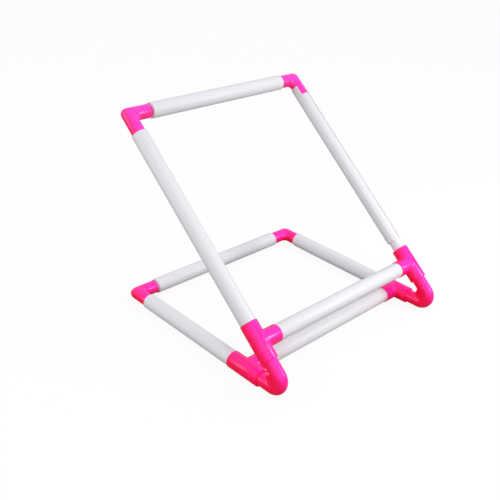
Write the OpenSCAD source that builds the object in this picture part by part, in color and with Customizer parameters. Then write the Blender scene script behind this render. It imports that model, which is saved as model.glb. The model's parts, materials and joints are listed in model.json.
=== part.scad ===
// Knock-down embroidery stand: an inclined working frame on a flat base frame.
// Both frames are white plastic tubes joined by pink elbows and tees, two V
// connectors tie them together at the front, and a springy C clip on every
// tube grips the fabric. X runs along the front, Y to the back, Z up.

/* [Frames] */
// Distance between the axes of the left and right side tubes
side_spacing = 308; // [240:1:420]
// Length of the working frame, from the crossing of the V's axes to the top tube's axis
frame_length = 415.5; // [320:0.5:560]
// Length of the base frame, from the same crossing to the back tube's axis
base_length = 310; // [260:1:420]
// Lean of the working frame above the base, and the angle of the V connectors
lean = 39.6; // [36:0.1:60]

/* [Tubes] */
// Outer diameter of every tube
tube_od = 17.4; // [15:0.1:18]
// Bore of every tube
tube_id = 13.8; // [12:0.1:14]
// Running gap, on the radius, between a plug and what it goes into
slip = 0.05; // [0.02:0.01:0.1]

/* [Clips] */
// Bore of the C clips, which leaves room for fabric round the tube
clip_id = 19; // [18.6:0.1:20]
// Outer diameter of the C clips
clip_od = 21.6; // [21:0.1:23]
// Angle that a clip leaves open along its length
clip_opening = 105; // [80:1:130]
// Length of the clips on the working frame's side tubes
side_clip_length = 280; // [200:1:280]
// Length of the clips on the base's side tubes
base_side_clip_length = 176; // [120:1:176]
// Length of the clips on the top and back tubes
cross_clip_length = 243; // [180:1:244]
// Length of the clips on the bottom and front tubes
tee_clip_length = 247.4; // [180:0.1:247.4]
// How far the right clip is slid up its tube, past the elbow's shoulder
right_clip_shift = 14; // [0:1:16]

/* [Tees] */
// Outer diameter of the tees
tee_od = 23.5; // [22:0.1:25]
// Length of a tee's straight run
tee_run = 52; // [46:1:60]
// Reach of a tee's branch from the axis of its run
tee_branch = 30; // [28:0.5:34]
// Distance of the branch from the crossing of the V's axes
branch_at = 79.3; // [78:0.1:100]
// Depth of each socket
socket_depth = 18; // [14:0.5:18]

/* [Elbows and V connectors] */
// Outer diameter of the elbows and the V connectors
arm_od = 18.8; // [18:0.1:18.8]
// Reach of an elbow's arm from the corner of its axes
arm_reach = 31; // [26:0.5:34]
// Length of the plug beyond an elbow's shoulder
plug_length = 18; // [12:1:20]
// Gap at the upper left elbow, where the top tube isn't pushed fully home
top_gap = 3; // [0:0.5:4]
// Bend radius of the V connector's axis at its nose
nose_bend = 12; // [11:0.5:14]
// Radius of the round edge of the web between a V connector's legs
leg_fillet = 8.6; // [6:0.2:9]

/* [Hidden] */
$fn = 64;
pink = "deeppink";
white = "whitesmoke";

flat = 0;                                // lean of the base frame
fit_r = tube_id / 2 - slip;              // radius of an elbow's plugs
socket_r = tube_od / 2 + slip;           // radius of a tee's sockets
stop_r = fit_r;                          // bore between a tee's sockets, which leaves a stop ring
rim = 0.6;                               // chamfer round every pink rim
cut = 1;                                 // how far a cutter runs past what it cuts
hollow_wall = 2.4;                       // wall of a plug round its hollow
clip_rest_gap = 0.3;                     // gap between a clip's end and a tee's mouth
web_thickness = 10;                      // flat web in an elbow's inner corner
web_fillet = 4;                          // radius of that web's free edge
gate_r = 1;                              // moulding gate mark on a tee's outer side
gate_height = 0.3;
lip_r = (clip_od - clip_id) / 4;         // round edge of a clip's lips
nose_r = arm_od / 2 - 0.25;              // a V's nose is a little slimmer than its legs, which
leg_overlap = 1.5;                       // run into it by this much
leg_web = [5, 8, 11, 14];                // steps in which a V's web thickens towards its nose
web_bite = 0.4;                          // how far each step's edge runs into the legs

tee_start = branch_at - tee_run / 2;     // front end of a tee, measured from the V's crossing
tee_end = branch_at + tee_run / 2;
tube_start = tee_end - socket_depth;     // where a side tube meets the stop in its tee
cross_stop = tee_branch - socket_depth;  // where a cross tube meets the stop, from the run's axis
bend_start = nose_bend / tan(lean / 2);  // where the V's nose meets its straight legs
bend_centre = nose_bend / sin(lean / 2);
clip_start = tee_end + clip_rest_gap;

// The row's origin is at the middle of the footprint, on the table.
axis_z = tee_od / 2;
front_y = bend_centre * cos(lean / 2) - nose_bend - nose_r;
back_y = frame_length * cos(lean) + clip_od / 2;
crossing_y = -(front_y + back_y) / 2;

// Places its children along a side tube: Z up the tube from the V's crossing,
// X to the right, Y out of the frame's under side.
module on_side(side, angle) {
    translate([side * side_spacing / 2, crossing_y, axis_z]) rotate([angle - 90, 0, 0]) children();
}

// Places its children on a cross tube at a distance up the frame: Z to the
// right, X back down the frame, Y out of the frame's under side.
module on_cross(angle, distance) {
    translate([0, crossing_y, axis_z]) rotate([angle - 90, 0, 0]) translate([0, 0, distance])
        rotate([0, 90, 0]) children();
}

// A tube from one height to another on Z
module tube(from, to) {
    color(white) translate([0, 0, from]) difference() {
        cylinder(d = tube_od, h = to - from);
        translate([0, 0, -cut]) cylinder(d = tube_id, h = to - from + 2 * cut);
    }
}

// A cylinder with a chamfered rim at its far end
module rimmed(d, h) {
    rotate_extrude() polygon([[0, 0], [d / 2, 0], [d / 2, h - rim], [d / 2 - rim, h], [0, h]]);
}

// A springy clip of C section with round lips, open towards an angle in its XY plane
module clip(from, length, open_towards) {
    wall_mid = (clip_id + clip_od) / 4;
    half = clip_opening / 2;
    color(white) translate([0, 0, from]) rotate(open_towards) {
        rotate(half) rotate_extrude(angle = 360 - clip_opening)
            translate([clip_id / 2, 0]) square([(clip_od - clip_id) / 2, length]);
        for (a = [-half, half]) rotate(a) translate([wall_mid, 0, 0]) cylinder(r = lip_r, h = length);
    }
}

// One hollow plug, from a shoulder outwards on Z
module plug(r, from, to) {
    translate([0, 0, from]) rimmed(2 * r, to - from);
}

// An elbow with its corner at the origin and its arms along Z and X
module elbow() {
    color(pink) difference() {
        union() {
            sphere(d = arm_od);
            for (turn = [0, 90]) rotate([0, turn, 0]) {
                rimmed(arm_od, arm_reach);
                plug(fit_r, 0, arm_reach + plug_length);
            }
            rotate([90, 0, 0]) linear_extrude(web_thickness, center = true) difference() {
                square(arm_od / 2 + web_fillet);
                translate([1, 1] * (arm_od / 2 + web_fillet)) circle(web_fillet);
            }
        }
        for (turn = [0, 90]) rotate([0, turn, 0]) translate([0, 0, arm_od / 2])
            cylinder(r = fit_r - hollow_wall, h = arm_reach + plug_length);
    }
}

// A tee with its run along Z and its branch along X, both from the origin
module tee() {
    half = tee_run / 2;
    color(pink) difference() {
        union() {
            for (turn = [0, 90, 180]) rotate([0, turn, 0])
                rimmed(tee_od, turn == 90 ? tee_branch : half);
            rotate([0, -90, 0]) cylinder(r = gate_r, h = tee_od / 2 + gate_height);
        }
        translate([0, 0, -half]) cylinder(r = stop_r, h = tee_run);
        rotate([0, 90, 0]) cylinder(r = stop_r, h = tee_branch);
        for (turn = [0, 180]) rotate([0, turn, 0]) translate([0, 0, half - socket_depth])
            cylinder(r = socket_r, h = socket_depth + cut);
        rotate([0, 90, 0]) translate([0, 0, cross_stop]) cylinder(r = socket_r, h = socket_depth + cut);
    }
}

// One step of a V's web in the XY plane, its crossing at the origin and its legs on both sides of X
module leg_web_step(thickness) {
    half = lean / 2;
    leg_half_width = sqrt(pow(arm_od / 2, 2) - pow(thickness / 2, 2));
    edge_centre = (leg_half_width - web_bite + leg_fillet) / sin(half);
    foot = edge_centre * cos(half);
    linear_extrude(thickness, center = true) difference() {
        polygon([
            [bend_centre - nose_bend, 0], foot * [cos(half), -sin(half)],
            [edge_centre, 0], foot * [cos(half), sin(half)]
        ]);
        translate([edge_centre, 0]) circle(leg_fillet);
    }
}

// A V connector in the YZ plane, its crossing at the origin and its lower leg along Y
module v_connector() {
    plug_end = tee_start + socket_depth;
    color(pink) difference() {
        union() {
            for (a = [flat, lean]) rotate([a - 90, 0, 0]) {
                translate([0, 0, bend_start - leg_overlap])
                    cylinder(d = arm_od, h = tee_start - bend_start + leg_overlap);
                plug(tube_od / 2, bend_start, plug_end);
            }
            rotate([lean / 2, 0, 0]) translate([0, bend_centre, 0]) rotate([0, 90, 0])
                rotate(-(180 - lean) / 2 - 90) rotate_extrude(angle = 180 - lean)
                    translate([nose_bend, 0]) circle(nose_r);
            for (thickness = leg_web) rotate([lean / 2, 0, 0]) rotate([90, 0, 90])
                leg_web_step(thickness);
        }
        for (a = [flat, lean]) rotate([a - 90, 0, 0]) translate([0, 0, bend_start + hollow_wall])
            cylinder(r = tube_od / 2 - hollow_wall, h = plug_end);
    }
}

// Tubes
module top_tube() {
    reach = side_spacing / 2 - arm_reach;
    on_cross(lean, frame_length) tube(top_gap - reach, reach);
}
module bottom_tube() {
    reach = side_spacing / 2 - cross_stop;
    on_cross(lean, branch_at) tube(-reach, reach);
}
module side_tube(side) { on_side(side, lean) tube(tube_start, frame_length - arm_reach); }
module left_tube() { side_tube(-1); }
module right_tube() { side_tube(1); }
module base_front_tube() {
    reach = side_spacing / 2 - cross_stop;
    on_cross(flat, branch_at) tube(-reach, reach);
}
module base_back_tube() {
    reach = side_spacing / 2 - arm_reach;
    on_cross(flat, base_length) tube(-reach, reach);
}
module base_side_tube(side) { on_side(side, flat) tube(tube_start, base_length - arm_reach); }
module base_left_tube() { base_side_tube(-1); }
module base_right_tube() { base_side_tube(1); }

// Elbows, each turned so that its arms point down the side tube and inwards
module corner(side, angle, distance) {
    on_side(side, angle) translate([0, 0, distance]) mirror([side > 0 ? 1 : 0, 0, 0])
        rotate([0, 90, 0]) elbow();
}
module top_left_elbow() { corner(-1, lean, frame_length); }
module top_right_elbow() { corner(1, lean, frame_length); }
module base_back_left_elbow() { corner(-1, flat, base_length); }
module base_back_right_elbow() { corner(1, flat, base_length); }

// Tees, with their branches inwards
module side_tee(side, angle) {
    on_side(side, angle) translate([0, 0, branch_at]) mirror([side > 0 ? 1 : 0, 0, 0]) tee();
}
module frame_left_tee() { side_tee(-1, lean); }
module frame_right_tee() { side_tee(1, lean); }
module base_left_tee() { side_tee(-1, flat); }
module base_right_tee() { side_tee(1, flat); }

// V connectors
module left_v_connector() { translate([-side_spacing / 2, crossing_y, axis_z]) v_connector(); }
module right_v_connector() { translate([side_spacing / 2, crossing_y, axis_z]) v_connector(); }

// Clips. The angle is where each one's opening faces: 90 is the frame's under
// side, and 270 its upper side.
module top_clip() {
    on_cross(lean, frame_length) clip(top_gap - side_spacing / 2 + arm_reach, cross_clip_length, 90);
}
module bottom_clip() { on_cross(lean, branch_at) clip(-tee_clip_length / 2, tee_clip_length, 90); }
module left_clip() { on_side(-1, lean) clip(clip_start, side_clip_length, 90); }
module right_clip() { on_side(1, lean) clip(clip_start + right_clip_shift, side_clip_length, 270); }
module base_front_clip() { on_cross(flat, branch_at) clip(-tee_clip_length / 2, tee_clip_length, 145); }
module base_back_clip() {
    on_cross(flat, base_length) clip(-cross_clip_length / 2, cross_clip_length, 145);
}
module base_left_clip() { on_side(-1, flat) clip(clip_start, base_side_clip_length, 35); }
module base_right_clip() { on_side(1, flat) clip(clip_start, base_side_clip_length, 35); }

top_tube();
bottom_tube();
left_tube();
right_tube();
base_front_tube();
base_back_tube();
base_left_tube();
base_right_tube();
top_left_elbow();
top_right_elbow();
base_back_left_elbow();
base_back_right_elbow();
frame_left_tee();
frame_right_tee();
base_left_tee();
base_right_tee();
left_v_connector();
right_v_connector();
top_clip();
bottom_clip();
left_clip();
right_clip();
base_front_clip();
base_back_clip();
base_left_clip();
base_right_clip();
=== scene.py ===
import json
import math

import bmesh
import bpy
from mathutils import Matrix, Vector
from mathutils.geometry import intersect_line_line


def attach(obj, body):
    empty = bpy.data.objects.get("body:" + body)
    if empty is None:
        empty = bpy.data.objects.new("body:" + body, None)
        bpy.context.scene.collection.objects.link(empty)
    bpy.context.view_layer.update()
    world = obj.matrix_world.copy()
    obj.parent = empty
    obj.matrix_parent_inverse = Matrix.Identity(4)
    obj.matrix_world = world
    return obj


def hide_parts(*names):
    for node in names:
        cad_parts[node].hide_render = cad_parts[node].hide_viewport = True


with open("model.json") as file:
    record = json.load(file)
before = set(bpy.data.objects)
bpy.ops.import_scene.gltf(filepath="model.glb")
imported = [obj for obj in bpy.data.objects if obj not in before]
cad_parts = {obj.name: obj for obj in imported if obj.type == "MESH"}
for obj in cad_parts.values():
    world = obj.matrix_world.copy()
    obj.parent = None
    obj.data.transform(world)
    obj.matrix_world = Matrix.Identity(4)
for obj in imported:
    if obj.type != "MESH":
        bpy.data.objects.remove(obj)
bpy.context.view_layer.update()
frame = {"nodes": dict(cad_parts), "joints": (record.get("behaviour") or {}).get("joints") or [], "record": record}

tiny = 1e-5  # how near two places have to be to count as one, in metres
mergeWithin = 1e-6  # points that lie nearer are merged
sharp = math.radians(60)  # an edge that turns more than this is rounded
smoothBelow = math.radians(35)  # an edge that turns less than this is shaded smooth
rimSteps = 3  # how many faces go round a rim's edge
origin = Vector()
xWay, yWay, zWay = Vector((1, 0, 0)), Vector((0, 1, 0)), Vector((0, 0, 1))


# Where things are

turnOf = {joint["child"]: joint for joint in frame["joints"] if joint["type"] == "hinge"}


def axisOf(clip):
    # each clip turns about the tube that it is on, so its joint gives the tube's axis
    return Vector(turnOf[clip]["pos_m"]), Vector(turnOf[clip]["axis"]).normalized()


rightWay = xWay
backWay = axisOf("base_left_clip")[1]
slopeWay = axisOf("left_clip")[1]
lean = backWay.angle(slopeWay)
flatUnder = backWay.cross(rightWay)
slopeUnder = slopeWay.cross(rightWay)  # out of the working frame's under side


def crossingOf(slopeClip, flatClip):
    # where the axes of a V connector's two legs would meet
    slopeAt, flatAt = axisOf(slopeClip)[0], axisOf(flatClip)[0]
    return intersect_line_line(slopeAt, slopeAt + slopeWay, flatAt, flatAt + backWay)[0]


crossing = {-1: crossingOf("left_clip", "base_left_clip"), 1: crossingOf("right_clip", "base_right_clip")}
branchAt = (axisOf("bottom_clip")[0] - crossing[1]).dot(slopeWay)
frameLength = (axisOf("top_clip")[0] - crossing[1]).dot(slopeWay)
baseLength = (axisOf("base_back_clip")[0] - crossing[1]).dot(backWay)
print("frame: lean", round(math.degrees(lean), 2), "branch", round(branchAt, 4))


def spanOf(node, start, along):
    # how far a CAD node reaches along an axis, measured from start
    reach = [(v.co - start).dot(along) for v in frame["nodes"][node].data.vertices]
    return min(reach), max(reach)


# Small tools for modelling


def editing(on):
    bpy.ops.object.mode_set(mode="EDIT" if on else "OBJECT")


def deselectAll():
    bpy.ops.object.select_all(action="DESELECT")


def addCylinder(name, radius, start, end, facets, ends="NOTHING"):
    # a cylinder on Z, open unless ends is NGON
    deselectAll()
    bpy.ops.mesh.primitive_cylinder_add(
        vertices=facets, radius=radius, depth=end - start, end_fill_type=ends,
        location=(0, 0, (start + end) / 2))
    bpy.ops.object.transform_apply(location=True, rotation=True, scale=True)
    bpy.context.object.name = name
    return bpy.context.object


def pick(kind, test):
    # in edit mode, selects the VERTs, EDGEs or FACEs that pass the test
    bpy.ops.mesh.select_mode(type=kind)
    bpy.ops.mesh.select_all(action="DESELECT")
    mesh = bpy.context.edit_object.data
    shape = bmesh.from_edit_mesh(mesh)
    for part in {"VERT": shape.verts, "EDGE": shape.edges, "FACE": shape.faces}[kind]:
        if test(part):
            part.select_set(True)
    bmesh.update_edit_mesh(mesh)


def ringTest(centre, along, radius):
    # true for the edges of the ring that goes round an axis at this place and radius
    def test(edge):
        for vert in edge.verts:
            offset = vert.co - centre
            height = offset.dot(along)
            if abs(height) > tiny or abs((offset - along * height).length - radius) > tiny:
                return False
        return True
    return test


def growRing(centre, along, steps):
    # carries a selected ring of edges through steps of (height, radius) and closes its end; the
    # first step is where the ring is
    height, radius = steps[0]
    for nextHeight, nextRadius in steps[1:]:
        bpy.ops.mesh.extrude_edges_move(TRANSFORM_OT_translate={"value": along * (nextHeight - height)})
        factor = nextRadius / radius
        bpy.ops.transform.resize(value=(factor,) * 3, center_override=centre + along * nextHeight)
        height, radius = nextHeight, nextRadius
    bpy.ops.mesh.edge_face_add()


def turnOutwards():
    bpy.ops.mesh.select_all(action="SELECT")
    bpy.ops.mesh.normals_make_consistent(inside=False)


def roundRings(places, along, centre, width):
    # rounds the rings at these (height, radius) places
    tests = [ringTest(centre + along * height, along, radius) for height, radius in places]
    pick("EDGE", lambda edge: any(test(edge) for test in tests))
    bpy.ops.mesh.bevel(offset=width, segments=rimSteps, affect="EDGES", clamp_overlap=False)


def useModifier(piece, kind, **settings):
    bpy.context.view_layer.objects.active = piece
    modifier = piece.modifiers.new(kind.title(), kind)
    for name, value in settings.items():
        setattr(modifier, name, value)
    bpy.ops.object.modifier_apply(modifier=modifier.name)


def cutWith(piece, cutter, operation="DIFFERENCE"):
    useModifier(piece, "BOOLEAN", object=cutter, operation=operation, solver="EXACT")
    bpy.data.objects.remove(cutter)


def joinTo(piece, others):
    deselectAll()
    for part in others + [piece]:
        part.select_set(True)
    bpy.context.view_layer.objects.active = piece
    bpy.ops.object.join()


def smoothOver(piece):
    deselectAll()
    piece.select_set(True)
    bpy.context.view_layer.objects.active = piece
    bpy.ops.object.shade_smooth_by_angle(angle=smoothBelow)


def place(piece, at, along, across):
    # turns a piece's Z along and its X across, and moves its origin to a place
    side = along.cross(across)
    turn = Matrix((across, side, along)).transposed().to_4x4()
    piece.matrix_world = Matrix.Translation(at) @ turn
    deselectAll()
    piece.select_set(True)
    bpy.context.view_layer.objects.active = piece
    bpy.ops.object.transform_apply(location=True, rotation=True, scale=True)
    return piece


def copyOf(piece, name):
    twin = piece.copy()
    twin.data = piece.data.copy()
    twin.name = name
    bpy.context.scene.collection.objects.link(twin)
    return twin


paintedLightWay = Vector((0, -0.55, 0.835))  # the front and up, where the key light comes from: the pink is painted lighter facing this way and redder facing away, as painted light and shade


def noteSurface(piece, seamAt, seamNormal):
    # what the pink finish reads: how far each point faces the key light's way, from 0 to 1, which paints light and
    # shade into its colour, and how far it is from the mould's seam
    mesh = piece.data
    facing = mesh.attributes.new("facing", "FLOAT", "POINT")
    offSeam = mesh.attributes.new("offSeam", "FLOAT", "POINT")
    for vert in mesh.vertices:
        normal = mesh.vertex_normals[vert.index].vector
        facing.data[vert.index].value = (normal.dot(paintedLightWay) + 1) / 2
        offSeam.data[vert.index].value = (vert.co - seamAt).dot(seamNormal)


bodyOf = {node: body for body, nodes in frame["record"]["behaviour"]["bodies"].items() for node in nodes}


def standFor(piece, node, material):
    piece.name = node + "_looks"
    piece.data.materials.clear()
    piece.data.materials.append(material)
    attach(piece, bodyOf[node])
    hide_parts(node)


# Materials


class Wire:
    # a shader socket that can stand in an expression
    def __init__(self, finish, socket):
        self.finish = finish
        self.socket = socket

    def combine(self, operation, first, second):
        return self.finish.add("Math", {"operation": operation}, {0: first, 1: second})

    def __add__(self, other):
        return self.combine("ADD", self, other)

    def __sub__(self, other):
        return self.combine("SUBTRACT", self, other)

    def __rsub__(self, other):
        return self.combine("SUBTRACT", other, self)

    def __mul__(self, other):
        return self.combine("MULTIPLY", self, other)

    def __truediv__(self, other):
        return self.combine("DIVIDE", self, other)

    def __rtruediv__(self, other):
        return self.combine("DIVIDE", other, self)

    def __pow__(self, other):
        return self.combine("POWER", self, other)

    __radd__ = __add__
    __rmul__ = __mul__


class Finish:
    # the nodes of one material, or of the world
    def __init__(self, owner):
        self.owner = owner
        owner.use_nodes = True
        self.nodes = owner.node_tree.nodes
        self.links = owner.node_tree.links
        self.nodes.clear()

    def add(self, kind, settings=None, sockets=None, output=0):
        node = self.nodes.new("ShaderNode" + kind)
        for name, value in (settings or {}).items():
            setattr(node, name, value)
        for name, value in (sockets or {}).items():
            if isinstance(value, Wire):
                self.links.new(value.socket, node.inputs[name])
            else:
                node.inputs[name].default_value = value
        return Wire(self, node.outputs[output]) if node.outputs else None

    def bump(self, height):
        return self.add("Bump", sockets={"Height": height, "Strength": 1.0, "Distance": 1.0})

    def finish(self, shader):
        self.add("OutputMaterial", sockets={"Surface": shader})
        self.owner.cycles.emission_sampling = "NONE"  # what glows here isn't meant as a lamp
        return self.owner


def blendColours(finish, mask, low, high):
    # a Mix node's sockets for colours are 6 and 7, and its output 2
    return finish.add("Mix", {"data_type": "RGBA"}, {0: mask, 6: low, 7: high}, output=2)


pinkLook = {
    # each place's painted shade, where it faces away from the key light, and its painted light, where it faces
    # that way
    "low": [(0.97, 0.0, 0.035, 1), (1.0, 0.025, 0.54, 1)],
    "top": [(0.98, 0.02, 0.17, 1), (1.0, 0.05, 0.62, 1)],  # the highest elbows are painted lighter, for the stronger light that falls on them
    "tintPower": 3.6,
    "tintMottle": 0.05,
    "glow": (1.0, 0.0, 0.02, 1),         # a painted glow: a constant red emission, lit or not, that keeps the red bright in the shade; the pigment is fluorescent
    "glowStrength": 0.14,
    "roughness": 0.36,
    "roughnessMottle": 0.1,
    "specular": 0.05,
    "coat": 0.45,
    "coatRoughness": 0.2,
    "subsurface": 0.3,
    "subsurfaceRadius": (1.0, 0.1, 0.2),
    "subsurfaceScale": 0.003,
    "mottle": 45,                        # per metre
    "flow": 160,
    "flowHeight": 0.000006,
    "seamHalfWidth": 0.0002,
    "seamRoughness": 0.15,
}


def pinkPlastic(place):
    finish = Finish(bpy.data.materials.new("pinkPlastic_" + place))
    spot = finish.add("TexCoord", output="Object")
    facing = finish.add("Attribute", {"attribute_name": "facing"}, output="Fac")
    offSeam = finish.add("Attribute", {"attribute_name": "offSeam"}, output="Fac")
    mottle = finish.add("TexNoise", sockets={"Vector": spot, "Scale": pinkLook["mottle"], "Detail": 2.0})
    flow = finish.add("TexNoise", sockets={"Vector": spot, "Scale": pinkLook["flow"], "Detail": 1.0})
    off = finish.add("Math", {"operation": "ABSOLUTE"}, {0: offSeam})
    seam = finish.add("Clamp", sockets={0: 1 - off / pinkLook["seamHalfWidth"]})
    # painted light and shade: the pink turns lighter and more violet the more a point faces the key light, with a
    # random mottle
    paintedLightAndMottle = finish.add("Clamp", sockets={0: facing + (mottle - 0.5) * pinkLook["tintMottle"]})
    roughness = (mottle - 0.5) * pinkLook["roughnessMottle"] + pinkLook["roughness"]
    shader = finish.add("BsdfPrincipled", sockets={
        "Base Color": blendColours(finish, paintedLightAndMottle ** pinkLook["tintPower"], *pinkLook[place]),
        "Roughness": roughness + seam * pinkLook["seamRoughness"],
        "Coat Weight": pinkLook["coat"],
        "Coat Roughness": pinkLook["coatRoughness"],
        "Specular IOR Level": pinkLook["specular"],
        "Emission Color": pinkLook["glow"],
        "Emission Strength": pinkLook["glowStrength"],
        "Subsurface Weight": pinkLook["subsurface"],
        "Subsurface Radius": pinkLook["subsurfaceRadius"],
        "Subsurface Scale": pinkLook["subsurfaceScale"],
        "Normal": finish.bump(flow * pinkLook["flowHeight"])})
    return finish.finish(shader)


whiteLook = {
    "tube": (0.80, 0.795, 0.83, 1),
    "clip": (0.795, 0.79, 0.825, 1),
    "darkest": 0.975,                    # share of its colour that the mottle leaves
    "roughness": 0.42,
    "roughnessMottle": 0.12,
    "roughnessLines": 0.06,
    "specular": 0.35,
    "mottle": 30,                        # per metre
    "lines": 420,                        # drawing marks round a tube, per metre
    "lineStretch": 100,                  # how much longer they are than wide
    "lineHeight": 0.000004,
    "mottleHeight": 0.00003,
}


def whitePlastic(name, colour, along):
    finish = Finish(bpy.data.materials.new(name))
    spot = finish.add("TexCoord", output="Object")
    onTube = finish.add("Mapping", {"vector_type": "TEXTURE"}, {
        "Vector": spot, "Rotation": along.to_track_quat("Z", "Y").to_euler(),
        "Scale": (1, 1, whiteLook["lineStretch"])})
    lines = finish.add("TexNoise", sockets={"Vector": onTube, "Scale": whiteLook["lines"], "Detail": 1.0})
    mottle = finish.add("TexNoise", sockets={"Vector": spot, "Scale": whiteLook["mottle"], "Detail": 2.0})
    darker = [share * whiteLook["darkest"] for share in colour[:3]] + [1]
    roughness = (mottle - 0.5) * whiteLook["roughnessMottle"] + whiteLook["roughness"]
    shader = finish.add("BsdfPrincipled", sockets={
        "Base Color": blendColours(finish, mottle, darker, colour),
        "Roughness": roughness + (lines - 0.5) * whiteLook["roughnessLines"],
        "Specular IOR Level": whiteLook["specular"],
        "Normal": finish.bump(lines * whiteLook["lineHeight"] + mottle * whiteLook["mottleHeight"])})
    return finish.finish(shader)


pinkOf = {place: pinkPlastic(place) for place in ("low", "top")}
ways = {"right": rightWay, "back": backWay, "slope": slopeWay}
tubeWhite = {way: whitePlastic("tubeWhite_" + way, whiteLook["tube"], ways[way]) for way in ways}
clipWhite = {way: whitePlastic("clipWhite_" + way, whiteLook["clip"], ways[way]) for way in ways}
print("materials made")


# Tubes

tubeSizes = {
    "radius": 0.0087,
    "wall": 0.0018,
    "endRound": 0.0003,
    "endSteps": 2,
    "facets": 72,
}
# each tube: the clip on it, whose joint gives its axis, and the way that it runs
tubePlaces = {
    "top_tube": ("top_clip", "right"),
    "bottom_tube": ("bottom_clip", "right"),
    "left_tube": ("left_clip", "slope"),
    "right_tube": ("right_clip", "slope"),
    "base_front_tube": ("base_front_clip", "right"),
    "base_back_tube": ("base_back_clip", "right"),
    "base_left_tube": ("base_left_clip", "back"),
    "base_right_tube": ("base_right_clip", "back"),
}


def makeTube(node):
    clip, way = tubePlaces[node]
    at, along = axisOf(clip)
    low, high = spanOf(node, at, along)
    tube = addCylinder(node, tubeSizes["radius"], low, high, tubeSizes["facets"])
    useModifier(tube, "SOLIDIFY", thickness=tubeSizes["wall"], offset=-1, use_even_offset=True)
    useModifier(tube, "BEVEL", width=tubeSizes["endRound"], segments=tubeSizes["endSteps"],
                limit_method="ANGLE", angle_limit=sharp)
    smoothOver(tube)
    place(tube, at, along, backWay if way == "right" else rightWay)
    standFor(tube, node, tubeWhite[way])


for node in tubePlaces:
    makeTube(node)
print("tubes made")


# Clips

clipSizes = {
    "bore": 0.0095,
    "wall": 0.0013,
    "halfOpening": math.radians(48.75),  # to the tips of the round lips
    "lipRadii": [0.00883, 0.00902, 0.00925, 0.00942],  # the lips thicken inwards to press on the tube
    "lipRound": 0.0008,
    "lipSteps": 5,
    "endRound": 0.00025,
    "endSteps": 2,
    "facets": 96,
}
# each clip: the way that it runs, a way across it in its frame's plane, the frame's under side,
# and how far its opening is turned from the one towards the other, in degrees
clipPlaces = {
    "top_clip": ("right", -slopeWay, slopeUnder, 90),
    "bottom_clip": ("right", -slopeWay, slopeUnder, 90),
    "left_clip": ("slope", rightWay, slopeUnder, 90),
    "right_clip": ("slope", rightWay, slopeUnder, 270),
    "base_front_clip": ("right", -backWay, flatUnder, 145),
    "base_back_clip": ("right", -backWay, flatUnder, 145),
    "base_left_clip": ("back", rightWay, flatUnder, 35),
    "base_right_clip": ("back", rightWay, flatUnder, 35),
}


def thickenLips(turned, radius):
    # draws in the inner points that lie so many facets back from the clip's two edges
    edge = clipSizes["halfOpening"]
    facet = 2 * math.pi / clipSizes["facets"]
    pick("VERT", lambda vert: math.hypot(vert.co.x, vert.co.y) < clipSizes["bore"] + tiny
         and round((abs(math.atan2(vert.co.y, vert.co.x)) - edge) / facet) == turned)
    factor = radius / clipSizes["bore"]
    bpy.ops.transform.resize(value=(factor, factor, 1), center_override=origin)


def makeClip(node):
    way, inPlane, under, degrees = clipPlaces[node]
    at, along = axisOf(node)
    low, high = spanOf(node, at, along)
    outer = clipSizes["bore"] + clipSizes["wall"]
    clip = addCylinder(node, outer, low, high, clipSizes["facets"])
    editing(True)
    pick("FACE", lambda face: abs(math.atan2(face.calc_center_median().y, face.calc_center_median().x))
         < clipSizes["halfOpening"])
    bpy.ops.mesh.delete(type="FACE")
    editing(False)
    useModifier(clip, "SOLIDIFY", thickness=clipSizes["wall"], offset=-1, use_even_offset=True)
    editing(True)
    for turned, radius in enumerate(clipSizes["lipRadii"]):
        thickenLips(turned, radius)
    pick("EDGE", lambda edge: abs(edge.verts[0].co.z - edge.verts[1].co.z) > tiny
         and edge.calc_face_angle(0) > sharp)
    bpy.ops.mesh.bevel(offset=clipSizes["lipRound"], segments=clipSizes["lipSteps"], affect="EDGES",
                       clamp_overlap=True)
    pick("EDGE", lambda edge: edge.calc_face_angle(0) > sharp)
    bpy.ops.mesh.bevel(offset=clipSizes["endRound"], segments=clipSizes["endSteps"], affect="EDGES",
                       clamp_overlap=True)
    editing(False)
    smoothOver(clip)
    angle = math.radians(degrees)
    place(clip, at, along, inPlane * math.cos(angle) + under * math.sin(angle))
    standFor(clip, node, clipWhite[way])


for node in clipPlaces:
    makeClip(node)
print("clips made")


# Elbows

elbowSizes = {
    "arm": 0.0094,
    "reach": 0.031,
    "cornerRound": 0.007,
    "cornerSteps": 8,
    "plug": 0.00685,
    "plugLength": 0.018,
    "hollow": 0.00445,
    "hollowDepth": 0.020,
    "rimRound": 0.0005,
    "facets": 64,
}


def makeElbow():
    arm, reach = elbowSizes["arm"], elbowSizes["reach"]
    plugEnd = reach + elbowSizes["plugLength"]
    steps = [(reach, arm), (reach, elbowSizes["plug"]), (plugEnd, elbowSizes["plug"]),
             (plugEnd, elbowSizes["hollow"]), (plugEnd - elbowSizes["hollowDepth"], elbowSizes["hollow"])]

    def onMitre(edge):
        return all(abs(vert.co.x - vert.co.z) < tiny for vert in edge.verts)

    elbow = addCylinder("elbow", arm, -2 * arm, reach, elbowSizes["facets"])
    editing(True)
    bpy.ops.mesh.select_all(action="SELECT")
    bpy.ops.mesh.bisect(plane_co=origin, plane_no=(1, 0, -1), clear_outer=True, threshold=mergeWithin)
    pick("EDGE", onMitre)
    bpy.ops.mesh.extrude_edges_move()
    bpy.ops.transform.resize(value=(0, 1, 1), center_override=(reach, 0, 0))
    growRing(origin, xWay, steps)
    pick("EDGE", ringTest(zWay * reach, zWay, arm))
    growRing(origin, zWay, steps)
    pick("EDGE", onMitre)
    bpy.ops.mesh.bevel(offset=elbowSizes["cornerRound"], offset_type="ABSOLUTE",
                       segments=elbowSizes["cornerSteps"], affect="EDGES", clamp_overlap=False)
    for along in (zWay, xWay):
        roundRings([(reach, arm), (plugEnd, elbowSizes["plug"])], along, origin, elbowSizes["rimRound"])
    turnOutwards()
    editing(False)
    smoothOver(elbow)
    return elbow


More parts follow.
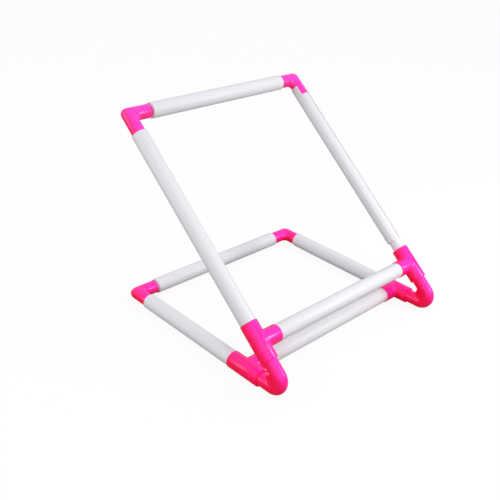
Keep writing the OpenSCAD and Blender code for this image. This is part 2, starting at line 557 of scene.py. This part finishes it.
elbowPlaces = {
    "top_left_elbow": (-1, slopeWay, frameLength),
    "top_right_elbow": (1, slopeWay, frameLength),
    "base_back_left_elbow": (-1, backWay, baseLength),
    "base_back_right_elbow": (1, backWay, baseLength),
}
elbow = makeElbow()
for node, (side, up, distance) in elbowPlaces.items():
    piece = copyOf(elbow, node)
    corner = crossing[side] + up * distance
    place(piece, corner, -up, rightWay * -side)
    noteSurface(piece, corner, up.cross(rightWay))
    standFor(piece, node, pinkOf["top" if up == slopeWay else "low"])
bpy.data.objects.remove(elbow)
print("elbows made")


# Tees

teeSizes = {
    "radius": 0.01175,
    "halfRun": 0.026,
    "branch": 0.030,
    "fillet": 0.0022,
    "filletSteps": 5,
    "socket": 0.00875,
    "socketDepth": 0.018,
    "stopBore": 0.00685,
    "rimRound": 0.0006,
    "drillOver": 0.002,      # how far a drill runs out of its hole
    "gateRadius": 0.001,
    "gateHeight": 0.0003,
    "gateRoot": 0.9,         # where the gate's nub starts, as a share of the tee's radius
    "gateFacets": 24,
    "facets": 64,
}


def makeTee():
    radius, halfRun, branch = teeSizes["radius"], teeSizes["halfRun"], teeSizes["branch"]

    def onCut(edge):
        return all(abs(abs(vert.co.z) - vert.co.x) < tiny for vert in edge.verts)

    tee = addCylinder("tee", radius, -halfRun, halfRun, teeSizes["facets"])
    editing(True)
    for slant in (-1, 1):  # cut the branch's side on the two planes where the branch meets it
        pick("FACE", lambda face: face.calc_center_median().x > tiny)
        bpy.ops.mesh.bisect(plane_co=origin, plane_no=(1, 0, slant), threshold=mergeWithin)
    pick("FACE", lambda face: abs(face.calc_center_median().z) < face.calc_center_median().x - tiny)
    bpy.ops.mesh.delete(type="FACE")
    pick("EDGE", onCut)
    bpy.ops.mesh.extrude_edges_move()
    bpy.ops.transform.resize(value=(0, 1, 1), center_override=(branch, 0, 0))
    bpy.ops.mesh.edge_face_add()
    for end in (-halfRun, halfRun):
        pick("EDGE", ringTest(zWay * end, zWay, radius))
        bpy.ops.mesh.edge_face_add()
    pick("EDGE", onCut)
    bpy.ops.mesh.bevel(offset=teeSizes["fillet"], offset_type="ABSOLUTE",
                       segments=teeSizes["filletSteps"], affect="EDGES", clamp_overlap=False)
    roundRings([(-halfRun, radius), (halfRun, radius)], zWay, origin, teeSizes["rimRound"])
    roundRings([(branch, radius)], xWay, origin, teeSizes["rimRound"])
    turnOutwards()
    editing(False)
    return tee


def boreTee(tee):
    # three sockets, each with a stop at its bottom
    halfRun, branch = teeSizes["halfRun"], teeSizes["branch"]
    stopBore, socket = teeSizes["stopBore"], teeSizes["socket"]
    for along, end in ((zWay, halfRun), (-zWay, halfRun), (xWay, branch)):
        bottom, top = end - teeSizes["socketDepth"], end + teeSizes["drillOver"]
        drill = addCylinder("drill", stopBore, 0, bottom, teeSizes["facets"])
        editing(True)
        pick("EDGE", ringTest(origin, zWay, stopBore))
        bpy.ops.mesh.edge_face_add()
        pick("EDGE", ringTest(zWay * bottom, zWay, stopBore))
        growRing(origin, zWay, [(bottom, stopBore), (bottom, socket), (top, socket)])
        turnOutwards()
        editing(False)
        place(drill, origin, along, yWay)
        cutWith(tee, drill)


def addGate(tee):
    # the nub that the moulding gate left on the outer side
    radius, top = teeSizes["gateRadius"], teeSizes["radius"] + teeSizes["gateHeight"]
    nub = addCylinder("nub", radius, teeSizes["radius"] * teeSizes["gateRoot"], top, teeSizes["gateFacets"],
                      "NGON")
    editing(True)
    roundRings([(top, radius)], zWay, origin, teeSizes["gateHeight"] / 2)
    editing(False)
    place(nub, origin, -xWay, yWay)
    cutWith(tee, nub, "UNION")


teePlaces = {
    "frame_left_tee": (-1, slopeWay),
    "frame_right_tee": (1, slopeWay),
    "base_left_tee": (-1, backWay),
    "base_right_tee": (1, backWay),
}
tee = makeTee()
boreTee(tee)
addGate(tee)
smoothOver(tee)
for node, (side, up) in teePlaces.items():
    piece = copyOf(tee, node)
    middle = crossing[side] + up * branchAt
    place(piece, middle, up, rightWay * -side)
    noteSurface(piece, middle, up.cross(rightWay))
    standFor(piece, node, pinkOf["low"])
bpy.data.objects.remove(tee)
print("tees made")


# V connectors

connectorSizes = {
    "leg": 0.0094,
    "bend": 0.012,
    "plug": 0.0087,
    "plugLength": 0.018,
    "hollow": 0.0063,
    "hollowDepth": 0.024,
    "rimRound": 0.0005,
    "webs": [0.004, 0.015],  # the web thickens towards the nose
    "webSteps": 12,
    "webFillet": 0.0086,
    "webFacets": 96,
    "webBite": 0.0004,       # how far a web's round edge runs into the legs
    "legSpare": 0.002,       # how much too long the legs are made, before they are cut
    "cutWithin": 1e-7,
    "plugRoot": 0.003,       # how far a plug runs into its leg
    "drillOver": 0.002,      # how far a drill runs out of its hole
    "voxel": 0.00045,
    "softening": 60,         # rounds of smoothing
    "softenBy": 0.5,
    "facets": 64,
    "bendSteps": 28,
}
flatLeg, slopeLeg = zWay, Vector((math.sin(lean), 0, math.cos(lean)))
betweenLegs = (flatLeg + slopeLeg).normalized()
legEnd = branchAt - teeSizes["halfRun"]  # the legs' shoulders rest on the tees


def makeBentTube():
    # the nose and both legs, a little too long
    leg, bend = connectorSizes["leg"], connectorSizes["bend"]
    bendStart = bend / math.tan(lean / 2)
    tubeEnd = legEnd + connectorSizes["legSpare"]
    bentTube = addCylinder("connector", leg, bendStart, tubeEnd, connectorSizes["facets"])
    editing(True)
    pick("EDGE", ringTest(flatLeg * bendStart, flatLeg, leg))
    bpy.ops.mesh.spin(steps=connectorSizes["bendSteps"], angle=math.pi - lean,
                      center=betweenLegs * bend / math.sin(lean / 2), axis=yWay)
    bpy.ops.mesh.extrude_edges_move(TRANSFORM_OT_translate={"value": slopeLeg * (tubeEnd - bendStart)})
    for along in (flatLeg, slopeLeg):
        pick("EDGE", ringTest(along * tubeEnd, along, leg))
        bpy.ops.mesh.edge_face_add()
    bpy.ops.mesh.select_all(action="SELECT")
    bpy.ops.mesh.remove_doubles(threshold=mergeWithin)
    turnOutwards()
    editing(False)
    return bentTube


def makeWeb(thickness):
    # a web of one thickness between the legs, from the nose to a round edge
    leg, bend, fillet = connectorSizes["leg"], connectorSizes["bend"], connectorSizes["webFillet"]
    legHalf = math.sqrt(leg ** 2 - (thickness / 2) ** 2)
    sine = math.sin(lean / 2)
    centre = betweenLegs * (legHalf - connectorSizes["webBite"] + fillet) / sine
    nose = betweenLegs * (bend / sine - bend)
    deselectAll()
    bpy.ops.mesh.primitive_circle_add(vertices=connectorSizes["webFacets"], radius=fillet)
    web = place(bpy.context.object, centre, yWay, betweenLegs)
    editing(True)
    pick("VERT", lambda vert: (centre - vert.co).dot(betweenLegs) < fillet * sine - tiny)
    bpy.ops.mesh.delete(type="VERT")
    bpy.ops.mesh.select_all(action="SELECT")
    bpy.ops.mesh.extrude_edges_move()
    bpy.ops.transform.resize(value=(0, 0, 0), center_override=nose)
    bpy.ops.mesh.select_all(action="SELECT")
    bpy.ops.mesh.remove_doubles(threshold=mergeWithin)
    editing(False)
    useModifier(web, "SOLIDIFY", thickness=thickness, offset=0)
    return web


def fitPlug(connector, along):
    # cuts a leg at its shoulder and gives it a hollow plug
    plug, hollow = connectorSizes["plug"], connectorSizes["hollow"]
    plugEnd = legEnd + connectorSizes["plugLength"]
    bpy.context.view_layer.objects.active = connector
    editing(True)
    bpy.ops.mesh.select_all(action="SELECT")
    bpy.ops.mesh.bisect(plane_co=along * legEnd, plane_no=along, clear_outer=True, use_fill=True,
                        threshold=connectorSizes["cutWithin"])
    editing(False)
    stub = addCylinder("plug", plug, legEnd - connectorSizes["plugRoot"], plugEnd,
                       connectorSizes["facets"], "NGON")
    editing(True)
    roundRings([(plugEnd, plug)], zWay, origin, connectorSizes["rimRound"])
    editing(False)
    cutWith(connector, place(stub, origin, along, yWay), "UNION")
    drill = addCylinder("drill", hollow, plugEnd - connectorSizes["hollowDepth"],
                        plugEnd + connectorSizes["drillOver"], connectorSizes["facets"], "NGON")
    cutWith(connector, place(drill, origin, along, yWay))


def makeConnector():
    connector = makeBentTube()
    thin, thick = connectorSizes["webs"]
    step = (thick - thin) / (connectorSizes["webSteps"] - 1)
    joinTo(connector, [makeWeb(thin + step * count) for count in range(connectorSizes["webSteps"])])
    useModifier(connector, "REMESH", mode="VOXEL", voxel_size=connectorSizes["voxel"])
    useModifier(connector, "SMOOTH", factor=connectorSizes["softenBy"],
                iterations=connectorSizes["softening"])
    for along in (flatLeg, slopeLeg):
        fitPlug(connector, along)
    smoothOver(connector)
    return connector


connector = makeConnector()
for node, side in (("left_v_connector", -1), ("right_v_connector", 1)):
    piece = copyOf(connector, node)
    place(piece, crossing[side], backWay, zWay)
    noteSurface(piece, crossing[side], rightWay)
    standFor(piece, node, pinkOf["low"])
bpy.data.objects.remove(connector)
print("connectors made")


# Floor and light

studio = {
    "floorSize": 12,
    "floorOwnWhite": 0.9,        # share of the floor that the camera sees as plain white
    "floorColour": (0.3, 0.3, 0.305, 1),
    "floorSeenColour": (1, 1, 1, 1),  # the sky's too
    "sky": 0.79,
    "skyColour": (0.97, 0.98, 1.0, 1),
    "key": {"at": (0.6, -0.8, 0.58), "aim": (0, 0, 0.12), "size": (0.27, 0.32), "power": 4.4},
    "soft": {"at": (-0.8, -1.25, 1.0), "aim": (0, 0, 0.12), "size": (1.8, 1.6), "power": 6.5},
    "rim": {"at": (-1.04, 0.61, 0.36), "aim": (0, 0, 0.12), "size": (0.22, 0.5), "power": 1.8},
}


def addFloor():
    deselectAll()
    bpy.ops.mesh.primitive_plane_add(size=studio["floorSize"])
    floor = bpy.context.object
    floor.name = "floor"
    finish = Finish(bpy.data.materials.new("floorWhite"))
    seen = finish.add("LightPath", output="Is Camera Ray")
    colour = blendColours(finish, seen, studio["floorColour"], studio["floorSeenColour"])
    matt = finish.add("BsdfDiffuse", sockets={"Color": colour})
    white = finish.add("Emission", sockets={"Strength": 1.0})
    share = seen * studio["floorOwnWhite"]
    shader = finish.add("MixShader", sockets={0: share, 1: matt, 2: white})
    floor.data.materials.append(finish.finish(shader))


def addSky():
    world = bpy.data.worlds.new("studio")
    bpy.context.scene.world = world
    sky = Finish(world)
    seen = sky.add("LightPath", output="Is Camera Ray")
    soft = sky.add("Background", sockets={"Color": studio["skyColour"], "Strength": studio["sky"]})
    white = sky.add("Background", sockets={"Color": studio["floorSeenColour"], "Strength": 1.0})
    either = sky.add("MixShader", sockets={0: seen, 1: soft, 2: white})
    sky.add("OutputWorld", sockets={"Surface": either})


def addLamp(name):
    lamp = studio[name]
    bpy.ops.object.light_add(type="AREA", location=lamp["at"])
    light = bpy.context.object
    light.name = name
    light.data.shape = "RECTANGLE"
    light.data.size, light.data.size_y = lamp["size"]
    light.data.energy = lamp["power"]
    way = Vector(lamp["aim"]) - Vector(lamp["at"])
    light.rotation_euler = way.to_track_quat("-Z", "Y").to_euler()


addFloor()
addSky()
for name in ("key", "soft", "rim"):
    addLamp(name)


# Camera

shot = {
    "at": (-0.67908, -0.60957, 0.57681),
    "aim": (-0.05524, 0.01232, 0.10344),
    "roll": 3.23,            # degrees
    "focalPixels": 729.2,
    "pixels": 500,
    "sensor": 36,            # mm
}


def addCamera():
    bpy.ops.object.camera_add()
    camera = bpy.context.object
    at, aim = Vector(shot["at"]), Vector(shot["aim"])
    turn = (aim - at).to_track_quat("-Z", "Y").to_matrix().to_4x4()
    roll = Matrix.Rotation(math.radians(shot["roll"]), 4, "Z")
    camera.matrix_world = Matrix.Translation(at) @ turn @ roll
    camera.data.sensor_width = shot["sensor"]
    camera.data.lens = shot["focalPixels"] / shot["pixels"] * shot["sensor"]
    bpy.context.scene.camera = camera


addCamera()
bpy.context.scene.view_settings.view_transform = "Standard"
print("studio made")
